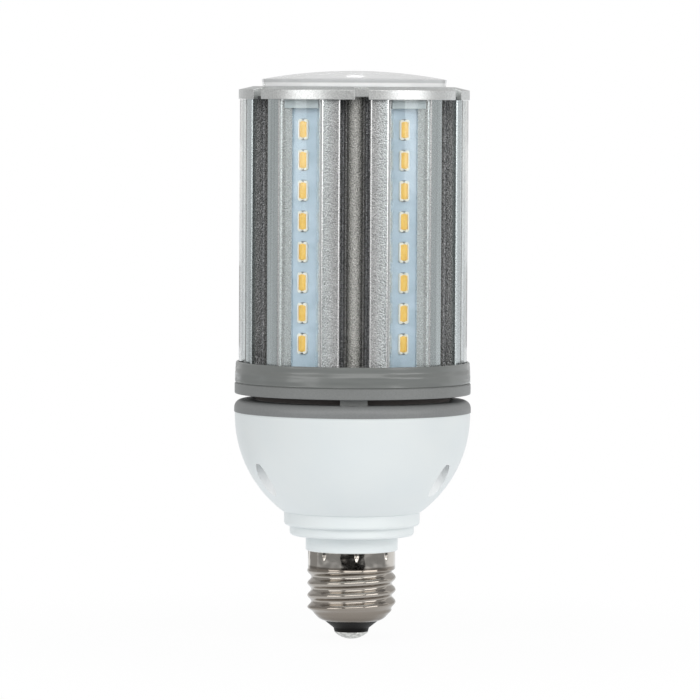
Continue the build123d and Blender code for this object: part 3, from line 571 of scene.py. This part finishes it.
def led_rows(name, unit, mat):
    """Repeats one LED part down each panel and round the six panels."""
    sizes = {
        "Count": LEDS,
        "Pitch": LED_PITCH * MM,
        "First": FIRST_LED * MM,
        "Face": BOARD_FACE * MM,
        "Offset": LED_OFFSET * MM,
        "Panels": PANELS,
        "Length": LED_LENGTH * MM,
        "Width": LED_WIDTH * MM,
        "Height": LED_HEIGHT * MM,
    }
    tree, size = new_tree(name, sizes)
    part = unit(tree, size)
    start = add(tree, "ShaderNodeCombineXYZ", {"X": size["Face"], "Y": size["Offset"], "Z": size["First"]})
    step = add(tree, "ShaderNodeCombineXYZ", {"Z": size["Pitch"]})
    row = add(tree, "GeometryNodeMeshLine", {
        "Count": size["Count"],
        "Start Location": start.outputs["Vector"],
        "Offset": step.outputs["Vector"],
    })
    upright = add(tree, "GeometryNodeInstanceOnPoints", {
        "Points": row.outputs["Mesh"],
        "Instance": part,
        "Rotation": (pi / 2, 0, pi / 2),
    })
    return grow(tree, name, sizes, round_panels(tree, size, upright.outputs["Instances"]), mat)


def led_frame(tree, size):
    """Moulded frame with a rounded well in it, and two rounded ears with a notch between them at each end."""
    body = add(tree, "ShaderNodeMath", {0: size["Length"], 1: 0.5 * MM}, operation="SUBTRACT")
    outer = add(tree, "GeometryNodeCurvePrimitiveQuadrilateral", {
        "Width": size["Width"], "Height": body.outputs[0],
    })
    soft = add(tree, "GeometryNodeFilletCurve", {
        "Curve": outer.outputs["Curve"], "Radius": 0.25 * MM, "Limit Radius": True, "Count": 2,
    }, mode="POLY")
    well_w = add(tree, "ShaderNodeMath", {0: size["Width"], 1: LED_WELL[0] * MM}, operation="SUBTRACT")
    well_l = add(tree, "ShaderNodeMath", {0: size["Length"], 1: LED_WELL[1] * MM}, operation="SUBTRACT")
    well = add(tree, "GeometryNodeCurvePrimitiveQuadrilateral", {
        "Width": well_w.outputs[0], "Height": well_l.outputs[0],
    })
    well_soft = add(tree, "GeometryNodeFilletCurve", {
        "Curve": well.outputs["Curve"], "Radius": 0.35 * MM, "Limit Radius": True, "Count": 3,
    }, mode="POLY")
    both = add(tree, "GeometryNodeJoinGeometry", {"Geometry": soft.outputs["Curve"]})
    tree.links.new(well_soft.outputs["Curve"], both.inputs["Geometry"])
    face = add(tree, "GeometryNodeFillCurve", {"Curve": both.outputs["Geometry"]})
    wall = add(tree, "GeometryNodeExtrudeMesh", {
        "Mesh": face.outputs["Mesh"], "Offset Scale": size["Height"], "Individual": False,
    })
    reach_w = add(tree, "ShaderNodeMath", {0: size["Width"], 1: LED_EAR_INSET[0] * MM}, operation="SUBTRACT")
    reach_l = add(tree, "ShaderNodeMath", {0: size["Length"], 1: LED_EAR_INSET[1] * MM}, operation="SUBTRACT")
    corners = add(tree, "GeometryNodeMeshGrid", {
        "Size X": reach_w.outputs[0], "Size Y": reach_l.outputs[0], "Vertices X": 2, "Vertices Y": 2,
    })
    ear = add(tree, "GeometryNodeCurvePrimitiveQuadrilateral", {
        "Width": LED_EAR[0] * MM, "Height": LED_EAR[1] * MM,
    })
    ear_soft = add(tree, "GeometryNodeFilletCurve", {
        "Curve": ear.outputs["Curve"], "Radius": 0.35 * MM, "Limit Radius": True, "Count": 4,
    }, mode="POLY")
    ear_face = add(tree, "GeometryNodeFillCurve", {"Curve": ear_soft.outputs["Curve"]})
    ear_height = add(tree, "ShaderNodeMath", {0: size["Height"], 1: 0.05 * MM}, operation="SUBTRACT")
    ear_block = add(tree, "GeometryNodeExtrudeMesh", {
        "Mesh": ear_face.outputs["Mesh"], "Offset Scale": ear_height.outputs[0], "Individual": False,
    })
    ears = add(tree, "GeometryNodeInstanceOnPoints", {
        "Points": corners.outputs["Mesh"], "Instance": ear_block.outputs["Mesh"],
    })
    whole = add(tree, "GeometryNodeJoinGeometry", {"Geometry": wall.outputs["Mesh"]})
    tree.links.new(ears.outputs["Instances"], whole.inputs["Geometry"])
    return whole.outputs["Geometry"]


def led_pool(tree, size):
    """Phosphor that swells in the well, from under the frame's edge to a little crown along the middle."""
    lap = 0.02
    well_w = add(tree, "ShaderNodeMath", {
        0: size["Width"], 1: (LED_WELL[0] - lap) * MM,
    }, operation="SUBTRACT")
    well_l = add(tree, "ShaderNodeMath", {
        0: size["Length"], 1: (LED_WELL[1] - lap) * MM,
    }, operation="SUBTRACT")
    sheet = add(tree, "GeometryNodeMeshGrid", {
        "Size X": well_w.outputs[0], "Size Y": well_l.outputs[0], "Vertices X": 9, "Vertices Y": 13,
    })
    spot = add(tree, "ShaderNodeSeparateXYZ", {0: add(tree, "GeometryNodeInputPosition").outputs[0]})
    share_x = add(tree, "ShaderNodeMath", {0: spot.outputs["X"], 1: well_w.outputs[0]}, operation="DIVIDE")
    share_y = add(tree, "ShaderNodeMath", {0: spot.outputs["Y"], 1: well_l.outputs[0]}, operation="DIVIDE")
    square_x = add(tree, "ShaderNodeMath", {
        0: share_x.outputs[0], 1: share_x.outputs[0],
    }, operation="MULTIPLY")
    fourth_y = add(tree, "ShaderNodeMath", {0: share_y.outputs[0], 1: 4.0}, operation="POWER")
    falls = add(tree, "ShaderNodeMath", {0: square_x.outputs[0], 1: fourth_y.outputs[0]}, operation="ADD")
    depth = add(tree, "ShaderNodeMath", {0: falls.outputs[0], 1: 1.5 * MM}, operation="MULTIPLY")
    crown = add(tree, "ShaderNodeMath", {0: size["Height"], 1: depth.outputs[0]}, operation="SUBTRACT")
    lift = add(tree, "ShaderNodeCombineXYZ", {"Z": crown.outputs[0]})
    skin = add(tree, "GeometryNodeSetPosition", {
        "Geometry": sheet.outputs["Mesh"], "Offset": lift.outputs["Vector"],
    })
    under = add(tree, "GeometryNodeExtrudeMesh", {
        "Mesh": skin.outputs["Geometry"],
        "Offset": (0, 0, -1),
        "Offset Scale": LED_FILM * MM,
        "Individual": False,
    })
    turned = add(tree, "GeometryNodeFlipFaces", {"Mesh": under.outputs["Mesh"]})
    smooth = add(tree, "GeometryNodeSetShadeSmooth", {
        "Geometry": turned.outputs["Mesh"], "Shade Smooth": True,
    })
    return smooth.outputs["Geometry"]


def led_pads(tree, size):
    """Tinned pads that show in the notches and just beyond both ends of the frame."""
    half = add(tree, "ShaderNodeMath", {0: size["Length"], 1: 0.5}, operation="MULTIPLY")
    down = add(tree, "ShaderNodeMath", {0: half.outputs[0], 1: -1.0}, operation="MULTIPLY")
    top = add(tree, "ShaderNodeCombineXYZ", {"Y": half.outputs[0]})
    bottom = add(tree, "ShaderNodeCombineXYZ", {"Y": down.outputs[0]})
    ends = add(tree, "GeometryNodeMeshLine", {
        "Count": 2, "Start Location": bottom.outputs["Vector"], "Offset": top.outputs["Vector"],
    }, mode="END_POINTS")
    pad = add(tree, "GeometryNodeCurvePrimitiveQuadrilateral", {
        "Width": LED_PAD[0] * MM, "Height": LED_PAD[1] * MM,
    })
    soft = add(tree, "GeometryNodeFilletCurve", {
        "Curve": pad.outputs["Curve"], "Radius": 0.2 * MM, "Limit Radius": True, "Count": 2,
    }, mode="POLY")
    face = add(tree, "GeometryNodeFillCurve", {"Curve": soft.outputs["Curve"]})
    tin = add(tree, "GeometryNodeExtrudeMesh", {
        "Mesh": face.outputs["Mesh"], "Offset Scale": LED_FILM * MM, "Individual": False,
    })
    pair = add(tree, "GeometryNodeInstanceOnPoints", {
        "Points": ends.outputs["Mesh"], "Instance": tin.outputs["Mesh"],
    })
    return pair.outputs["Instances"]


led_frames = led_rows("led_frames", led_frame, led_white)
led_pools = led_rows("led_pools", led_pool, phosphor)
led_terminals = led_rows("led_terminals", led_pads, tinned)
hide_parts(*[f"led_chips_{i}" for i in range(1, PANELS + 1)])
for piece in (led_frames, led_pools, led_terminals):
    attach(piece, "root")


def rolled_edges():
    """Flat burnished edge on each side of every channel's mouth, all the way up the extrusion."""
    sizes = {
        "Panels": PANELS,
        "Foot": SINK_FOOT_Z * MM,
        "Length": SINK_LENGTH * MM,
        "Reach": 31.69 * MM,
        "Half Mouth": 7.34 * MM,
        "Width": 0.42 * MM,
        "Thickness": 0.24 * MM,
        "Lean": radians(8),
    }
    tree, size = new_tree("rolled_edges", sizes)
    section = add(tree, "GeometryNodeCurvePrimitiveQuadrilateral", {
        "Width": size["Thickness"], "Height": size["Width"],
    })
    soft = add(tree, "GeometryNodeFilletCurve", {
        "Curve": section.outputs["Curve"], "Radius": 0.06 * MM, "Limit Radius": True, "Count": 3,
    }, mode="POLY")
    face = add(tree, "GeometryNodeFillCurve", {"Curve": soft.outputs["Curve"]})
    bar = add(tree, "GeometryNodeExtrudeMesh", {
        "Mesh": face.outputs["Mesh"], "Offset Scale": size["Length"], "Individual": False,
    })
    end = add(tree, "GeometryNodeFlipFaces", {"Mesh": face.outputs["Mesh"]})
    both = add(tree, "GeometryNodeJoinGeometry", {"Geometry": bar.outputs["Mesh"]})
    tree.links.new(end.outputs["Mesh"], both.inputs["Geometry"])
    closed = add(tree, "GeometryNodeMergeByDistance", {
        "Geometry": both.outputs["Geometry"], "Distance": 0.001 * MM,
    })
    other = add(tree, "ShaderNodeMath", {0: size["Half Mouth"], 1: -1.0}, operation="MULTIPLY")
    left = add(tree, "ShaderNodeCombineXYZ", {"X": size["Reach"], "Y": other.outputs[0], "Z": size["Foot"]})
    right = add(tree, "ShaderNodeCombineXYZ", {
        "X": size["Reach"], "Y": size["Half Mouth"], "Z": size["Foot"],
    })
    sides = add(tree, "GeometryNodeMeshLine", {
        "Count": 2, "Start Location": left.outputs["Vector"], "Offset": right.outputs["Vector"],
    }, mode="END_POINTS")
    index = add(tree, "GeometryNodeInputIndex")
    away = add(tree, "ShaderNodeMath", {0: index.outputs["Index"], 1: 2.0, 2: -1.0}, operation="MULTIPLY_ADD")
    lean = add(tree, "ShaderNodeMath", {0: away.outputs[0], 1: size["Lean"]}, operation="MULTIPLY")
    turn = add(tree, "ShaderNodeCombineXYZ", {"Z": lean.outputs[0]})
    pair = add(tree, "GeometryNodeInstanceOnPoints", {
        "Points": sides.outputs["Mesh"],
        "Instance": closed.outputs["Geometry"],
        "Rotation": turn.outputs["Vector"],
    })
    return grow(tree, "rolled_edges", sizes, round_panels(tree, size, pair.outputs["Instances"]), burnished)


edges = rolled_edges()
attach(edges, "root")


def rolled_shell():
    """Screw shell with a rolled knuckle thread, a plain skirt, a rounded nose and punched dents."""
    sizes = {
        "Pitch": THREAD_PITCH * MM,
        "Wave": (CREST_RADIUS - ROOT_RADIUS) / 2 * MM,
        "First Root": FIRST_ROOT_Z * MM,
        "Depth": -SHELL_MOUTH_Z * MM,
        "Dents": 8,
        "Dent Turn": radians(-84),
        "Dent Depth": 0.5 * MM,
    }
    # Heights between which the thread grows and dies out and the dents widen and fade, and the half widths
    # of the dents, in millimetres
    thread_grows = (-5.0, -6.2)
    thread_dies = (-18.9, -17.2)
    dent_widens = (-2.4, -0.8)
    dent_fades = (-2.6, -1.9)
    dent_half_width = (0.12, 0.62)
    tree, size = new_tree("rolled_shell", sizes)
    grid = add(tree, "GeometryNodeMeshGrid", {
        "Size X": 1.0, "Size Y": 1.0, "Vertices X": 361, "Vertices Y": 137,
    })
    spot = add(tree, "ShaderNodeSeparateXYZ", {0: add(tree, "GeometryNodeInputPosition").outputs[0]})
    angle = add(tree, "ShaderNodeMath", {0: spot.outputs["X"], 1: 2 * pi}, operation="MULTIPLY")
    down = add(tree, "ShaderNodeMath", {0: spot.outputs["Y"], 1: 0.5}, operation="SUBTRACT")
    height = add(tree, "ShaderNodeMath", {0: down.outputs[0], 1: size["Depth"]}, operation="MULTIPLY")
    # Base radius from the top of the skirt to the mouth, in millimetres over the shell's depth
    full_scale = 20
    share = add(tree, "ShaderNodeMath", {0: down.outputs[0], 1: -1.0}, operation="MULTIPLY")
    profile = add(tree, "ShaderNodeFloatCurve", {"Value": share.outputs[0]})
    curve = profile.mapping.curves[0]
    shape = [
        (0.0, 13.0), (5.3, 13.0), (6.5, 12.62), (16.9, 12.62), (17.7, 12.25), (18.5, 11.5),
        (19.4, 10.7), (20.2, 9.9), (20.7, 9.1), (21.0, 8.25),
    ]
    while len(curve.points) < len(shape):
        curve.points.new(0.5, 0.5)
    for point, (depth, radius) in zip(curve.points, shape):
        point.location = (depth / -SHELL_MOUTH_Z, radius / full_scale)
        point.handle_type = "AUTO_CLAMPED"
    profile.mapping.update()
    base = add(tree, "ShaderNodeMath", {0: profile.outputs[0], 1: full_scale * MM}, operation="MULTIPLY")
    # Thread wave: one turn of the angle climbs one pitch, right-handed
    turns = add(tree, "ShaderNodeMath", {0: angle.outputs[0], 1: 2 * pi}, operation="DIVIDE")
    below = add(tree, "ShaderNodeMath", {0: height.outputs[0], 1: size["First Root"]}, operation="SUBTRACT")
    climbs = add(tree, "ShaderNodeMath", {0: below.outputs[0], 1: size["Pitch"]}, operation="DIVIDE")
    phase = add(tree, "ShaderNodeMath", {0: turns.outputs[0], 1: climbs.outputs[0]}, operation="SUBTRACT")
    around = add(tree, "ShaderNodeMath", {0: phase.outputs[0], 1: 2 * pi}, operation="MULTIPLY")
    wave = add(tree, "ShaderNodeMath", {0: around.outputs[0]}, operation="COSINE")
    starts = add(tree, "ShaderNodeMapRange", {
        "Value": height.outputs[0], "From Min": thread_grows[0] * MM, "From Max": thread_grows[1] * MM,
    }, interpolation_type="SMOOTHSTEP")
    ends = add(tree, "ShaderNodeMapRange", {
        "Value": height.outputs[0], "From Min": thread_dies[0] * MM, "From Max": thread_dies[1] * MM,
    }, interpolation_type="SMOOTHSTEP")
    fade = add(tree, "ShaderNodeMath", {0: starts.outputs[0], 1: ends.outputs[0]}, operation="MULTIPLY")
    swing = add(tree, "ShaderNodeMath", {0: wave.outputs[0], 1: fade.outputs[0]}, operation="MULTIPLY")
    rolled = add(tree, "ShaderNodeMath", {0: swing.outputs[0], 1: size["Wave"]}, operation="MULTIPLY")
    threaded = add(tree, "ShaderNodeMath", {0: base.outputs[0], 1: rolled.outputs[0]}, operation="SUBTRACT")
    # Punched dents: a V from the top edge down, repeated round the skirt
    sector = add(tree, "ShaderNodeMath", {0: 2 * pi, 1: size["Dents"]}, operation="DIVIDE")
    turned = add(tree, "ShaderNodeMath", {0: angle.outputs[0], 1: size["Dent Turn"]}, operation="SUBTRACT")
    half = add(tree, "ShaderNodeMath", {0: sector.outputs[0], 1: 0.5}, operation="MULTIPLY")
    wrapped = add(tree, "ShaderNodeMath", {0: turned.outputs[0], 1: half.outputs[0]}, operation="ADD")
    local = add(tree, "ShaderNodeMath", {
        0: wrapped.outputs[0], 1: sector.outputs[0], 2: 0.0,
    }, operation="WRAP")
    offset = add(tree, "ShaderNodeMath", {0: local.outputs[0], 1: half.outputs[0]}, operation="SUBTRACT")
    side = add(tree, "ShaderNodeMath", {0: offset.outputs[0]}, operation="ABSOLUTE")
    arc = add(tree, "ShaderNodeMath", {0: side.outputs[0], 1: SKIRT_RADIUS * MM}, operation="MULTIPLY")
    drop = add(tree, "ShaderNodeMapRange", {
        "Value": height.outputs[0],
        "From Min": dent_widens[0] * MM,
        "From Max": dent_widens[1] * MM,
        "To Min": dent_half_width[0] * MM,
        "To Max": dent_half_width[1] * MM,
    })
    inside = add(tree, "ShaderNodeMath", {0: arc.outputs[0], 1: drop.outputs[0]}, operation="DIVIDE")
    slope = add(tree, "ShaderNodeMapRange", {
        "Value": inside.outputs[0], "From Min": 1.0, "From Max": 0.2,
    }, interpolation_type="SMOOTHSTEP")
    fades = add(tree, "ShaderNodeMapRange", {
        "Value": height.outputs[0], "From Min": dent_fades[0] * MM, "From Max": dent_fades[1] * MM,
    }, interpolation_type="SMOOTHSTEP")
    dent = add(tree, "ShaderNodeMath", {0: slope.outputs[0], 1: fades.outputs[0]}, operation="MULTIPLY")
    sunk = add(tree, "ShaderNodeMath", {0: dent.outputs[0], 1: size["Dent Depth"]}, operation="MULTIPLY")
    radius = add(tree, "ShaderNodeMath", {0: threaded.outputs[0], 1: sunk.outputs[0]}, operation="SUBTRACT")
    east = add(tree, "ShaderNodeMath", {0: angle.outputs[0]}, operation="COSINE")
    north = add(tree, "ShaderNodeMath", {0: angle.outputs[0]}, operation="SINE")
    east_out = add(tree, "ShaderNodeMath", {0: radius.outputs[0], 1: east.outputs[0]}, operation="MULTIPLY")
    north_out = add(tree, "ShaderNodeMath", {0: radius.outputs[0], 1: north.outputs[0]}, operation="MULTIPLY")
    point = add(tree, "ShaderNodeCombineXYZ", {
        "X": east_out.outputs[0], "Y": north_out.outputs[0], "Z": height.outputs[0],
    })
    placed = add(tree, "GeometryNodeSetPosition", {
        "Geometry": grid.outputs["Mesh"], "Position": point.outputs[0],
    })
    closed = add(tree, "GeometryNodeMergeByDistance", {
        "Geometry": placed.outputs["Geometry"], "Distance": 0.001 * MM,
    })
    smooth = add(tree, "GeometryNodeSetShadeSmooth", {
        "Geometry": closed.outputs["Geometry"], "Shade Smooth": True,
    })
    return grow(tree, "rolled_shell", sizes, smooth.outputs["Geometry"], nickel)


shell = rolled_shell()
wall = shell.modifiers.new("wall", "SOLIDIFY")
wall.thickness = SHELL_WALL * MM
wall.offset = -1
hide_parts("screw_shell")
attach(shell, "root")

# Paper floor under the contact: white to the camera but for the soft shadow near the object, and open from
# below. The light it throws back is strong close to the object and behind it, and weak farther out in front
FLOOR_HALF = 6
floor_z = cad_box[0][2]
floor_corners = [(x * FLOOR_HALF, y * FLOOR_HALF, floor_z) for x, y in ((-1, -1), (1, -1), (1, 1), (-1, 1))]
floor_mesh = bpy.data.meshes.new("studio_floor")
floor_mesh.from_pydata(floor_corners, [], [(0, 1, 2, 3)])
floor = bpy.data.objects.new("studio_floor", floor_mesh)
scene.collection.objects.link(floor)
paper, tree, shader = material("white_paper_sweep", Base_Color=lin("#F4F4F4"), Roughness=0.9)
place = add(tree, "ShaderNodeTexCoord").outputs["Object"]
away = add(tree, "ShaderNodeVectorMath", {0: place}, operation="LENGTH")
far = add(tree, "ShaderNodeMapRange", {
    "Value": away.outputs["Value"], "From Min": 0.04, "From Max": 0.18, "To Min": 0.95, "To Max": 1.0,
}, interpolation_type="SMOOTHSTEP")
white = add(tree, "ShaderNodeEmission", {"Color": (1, 1, 1, 1), "Strength": 1.0})
sweep = add(tree, "ShaderNodeMixShader", {
    0: far.outputs["Result"], 1: shader.outputs["BSDF"], 2: white.outputs["Emission"],
})
falls = add(tree, "ShaderNodeMapRange", {
    "Value": away.outputs["Value"], "From Min": 0.12, "From Max": 0.26, "To Min": 1.0, "To Max": 0.3,
}, interpolation_type="SMOOTHSTEP")
depth = add(tree, "ShaderNodeSeparateXYZ", {0: place}).outputs["Y"]
bounce = add(tree, "ShaderNodeMapRange", {
    "Value": depth, "From Min": 0.0, "From Max": 0.15, "To Min": falls.outputs["Result"], "To Max": 1.0,
}, interpolation_type="SMOOTHSTEP")
thrown = add(tree, "ShaderNodeEmission", {"Color": lin("#F6F8FA"), "Strength": bounce.outputs["Result"]})
paper_look = add(tree, "ShaderNodeMixShader", {
    0: add(tree, "ShaderNodeLightPath").outputs["Is Camera Ray"],
    1: thrown.outputs["Emission"],
    2: sweep.outputs["Shader"],
})
one_sided = add(tree, "ShaderNodeMixShader", {
    0: add(tree, "ShaderNodeNewGeometry").outputs["Backfacing"],
    1: paper_look.outputs["Shader"],
    2: add(tree, "ShaderNodeBsdfTransparent").outputs["BSDF"],
})
tree.links.new(one_sided.outputs["Shader"], tree.nodes["Material Output"].inputs["Surface"])
floor_mesh.materials.append(paper)

# White backdrop all round; the cards below close the dim part of the room in front
world = bpy.data.worlds.new("studio")
world.use_nodes = True
scene.world = world
backdrop = world.node_tree.nodes["Background"]
backdrop.inputs["Color"].default_value = (1, 1, 1, 1)
backdrop.inputs["Strength"].default_value = 1.0


def card(name, distance, compass, rise, shade, mirrors_only=False, near=0.2):
    """Curved card that the camera doesn't see, between two compass angles from the front and two rises.
    With equal rises it lies just over the floor, from near to its distance."""
    columns, rows, clear = 32, 12, 0.5 * MM
    corners = []
    for i in range(columns + 1):
        a = radians(compass[0] + (compass[1] - compass[0]) * i / columns)
        for j in range(rows + 1):
            e = radians(rise[0] + (rise[1] - rise[0]) * j / rows)
            reach = distance * cos(e)
            lift = distance * sin(e)
            if rise[0] == rise[1]:
                reach = near + (distance - near) * j / rows
                lift = clear
            corners.append((reach * sin(a), -reach * cos(a), floor_z + lift))
    step = rows + 1
    sides = [
        (i * step + j, i * step + j + 1, (i + 1) * step + j + 1, (i + 1) * step + j)
        for i in range(columns) for j in range(rows)
    ]
    mesh = bpy.data.meshes.new(name)
    mesh.from_pydata(corners, [], sides)
    screen = bpy.data.objects.new(name, mesh)
    scene.collection.objects.link(screen)
    screen.visible_camera = False
    if mirrors_only:
        screen.visible_diffuse = False
        screen.visible_transmission = False
        screen.visible_shadow = False
    felt, _, shader = material(name + "_felt", Base_Color=(0, 0, 0, 1), Roughness=1.0)
    shader.inputs["Specular IOR Level"].default_value = 0.0
    shader.inputs["Emission Color"].default_value = lin(shade)
    shader.inputs["Emission Strength"].default_value = 1.0
    mesh.materials.append(felt)


# A dim room in front and a dimmer ceiling behind take up light. The other cards are for mirrors only: a dark
# floor in front, and greys behind and on the left, where the sides of the metal look
card("dim_room", 2.6, (-112, 110), (0, 90), "#B2B1B0")
card("dim_ceiling", 2.7, (110, 248), (40, 90), "#8A8A8A")
card("dark_floor", 2.3, (-26, 32), (0, 0), "#0B0B0B", mirrors_only=True)
card("grey_behind", 2.4, (120, 217), (3, 40), "#D0D0D0", mirrors_only=True)
card("dim_behind", 2.4, (217, 247), (0, 40), "#B8B8B8", mirrors_only=True)
card("dim_floor_left", 1.7, (218, 258), (0, 0), "#989898", mirrors_only=True, near=0.14)
card("grey_floor_behind", 3.3, (132, 236), (0, 0), "#A4A4A4", mirrors_only=True, near=1.75)


def soft_box(name, compass, rise, distance, width, height, watts):
    """Area lamp at a compass angle from the front and a rise above the horizon, facing the object."""
    lamp = bpy.data.lights.new(name, "AREA")
    lamp.shape = "RECTANGLE"
    lamp.size = width
    lamp.size_y = height
    lamp.energy = watts
    holder = bpy.data.objects.new(name, lamp)
    scene.collection.objects.link(holder)
    holder.visible_camera = False
    a, e = radians(compass), radians(rise)
    middle = Vector((0, 0, AIM_Z))
    place = middle + distance * Vector((cos(e) * sin(a), -cos(e) * cos(a), sin(e)))
    facing = (middle - place).to_track_quat("-Z", "Y").to_matrix().to_4x4()
    holder.matrix_world = Matrix.Translation(place) @ facing


soft_box("left_box", -50, 18, 1.3, 0.75, 0.8, 3.8)
soft_box("right_box", 55, 18, 1.3, 0.85, 0.8, 5.0)
soft_box("key_box", 4, 34, 1.4, 1.2, 0.8, 5.8)
soft_box("back_strip", 179.3, 19.5, 2.2, 0.03, 0.035, 0.02)
